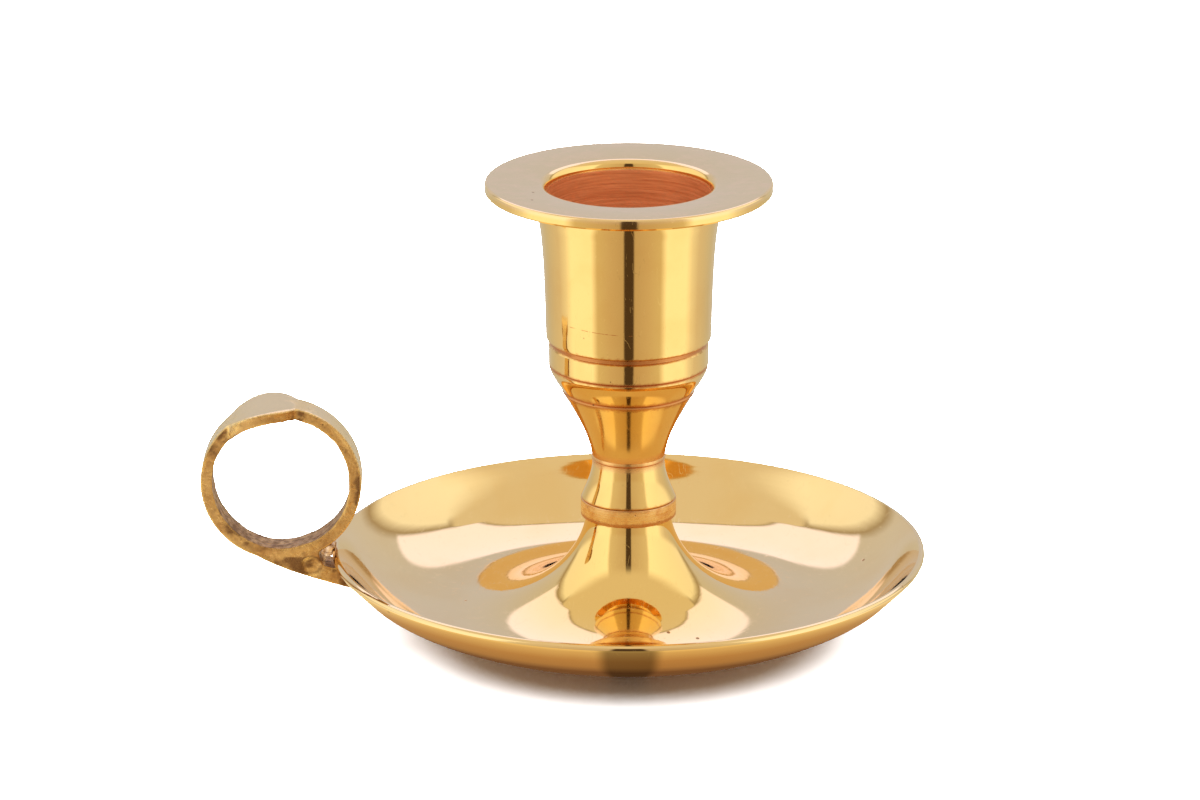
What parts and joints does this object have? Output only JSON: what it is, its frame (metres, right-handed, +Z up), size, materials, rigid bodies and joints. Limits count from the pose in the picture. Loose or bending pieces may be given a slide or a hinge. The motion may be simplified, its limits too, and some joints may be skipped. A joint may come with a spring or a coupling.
{
  "type": "chamber candlestick",
  "caption": "Low brass candlestick with a flanged candle cup on a turned stem, a round drip pan and a finger ring handle.",
  "frame": {"origin": "centre of the resting face under the drip pan, on the candle's axis", "axes": "+Z up along the candle's axis; the finger handle points to -X; -Y is the front"},
  "size_m": [0.108, 0.0886, 0.07],
  "materials": {
    "polished_brass": "polished",
    "stained_brass": "satin",
    "cast_brass": "satin",
    "plain_brass": "satin",
    "braze": "matte"
  },
  "bodies": {
    "root": {"drip_pan": "polished_brass", "stem_collar": "stained_brass", "stem_knop": "polished_brass", "stem_neck": "polished_brass", "cup_bowl": "polished_brass", "candle_cup": "polished_brass", "tie_bolt": "plain_brass", "bolt_washer": "plain_brass", "bolt_nut": "plain_brass", "finger_handle": "cast_brass", "braze_bead": "braze"}
  },
  "joints": []
}
